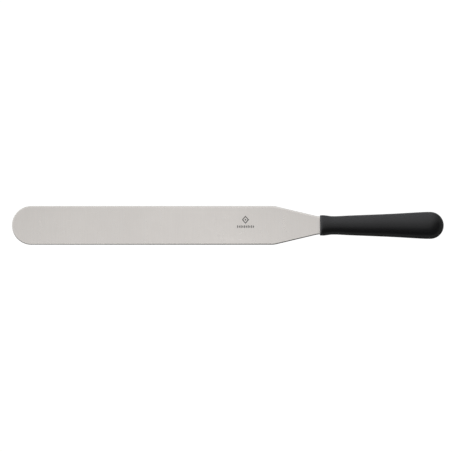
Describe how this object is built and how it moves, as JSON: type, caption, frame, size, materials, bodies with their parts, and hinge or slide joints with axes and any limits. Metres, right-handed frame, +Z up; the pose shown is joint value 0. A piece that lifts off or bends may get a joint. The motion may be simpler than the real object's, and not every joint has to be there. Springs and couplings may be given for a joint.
{
  "type": "straight icing spatula",
  "caption": "Long straight icing spatula: a thin satin steel blade with a round tip, tapering at the shoulder into a moulded black handle with a waist and a round butt.",
  "frame": {"origin": "under the middle of the overall box, level with the underside of the handle", "axes": "+X along the spatula from the tip to the butt, +Y across the blade, +Z up, square to the level blade"},
  "size_m": [0.4908, 0.044, 0.0216],
  "materials": {
    "satin_steel": "satin, finely ground across the blade, with polished rims",
    "core_plastic": "plain moulded, hidden inside the grip",
    "grip_plastic": "black, finely textured matte moulding"
  },
  "bodies": {
    "root": {"blade": "satin_steel", "handle_core": "core_plastic", "handle_grip": "grip_plastic"}
  },
  "joints": []
}
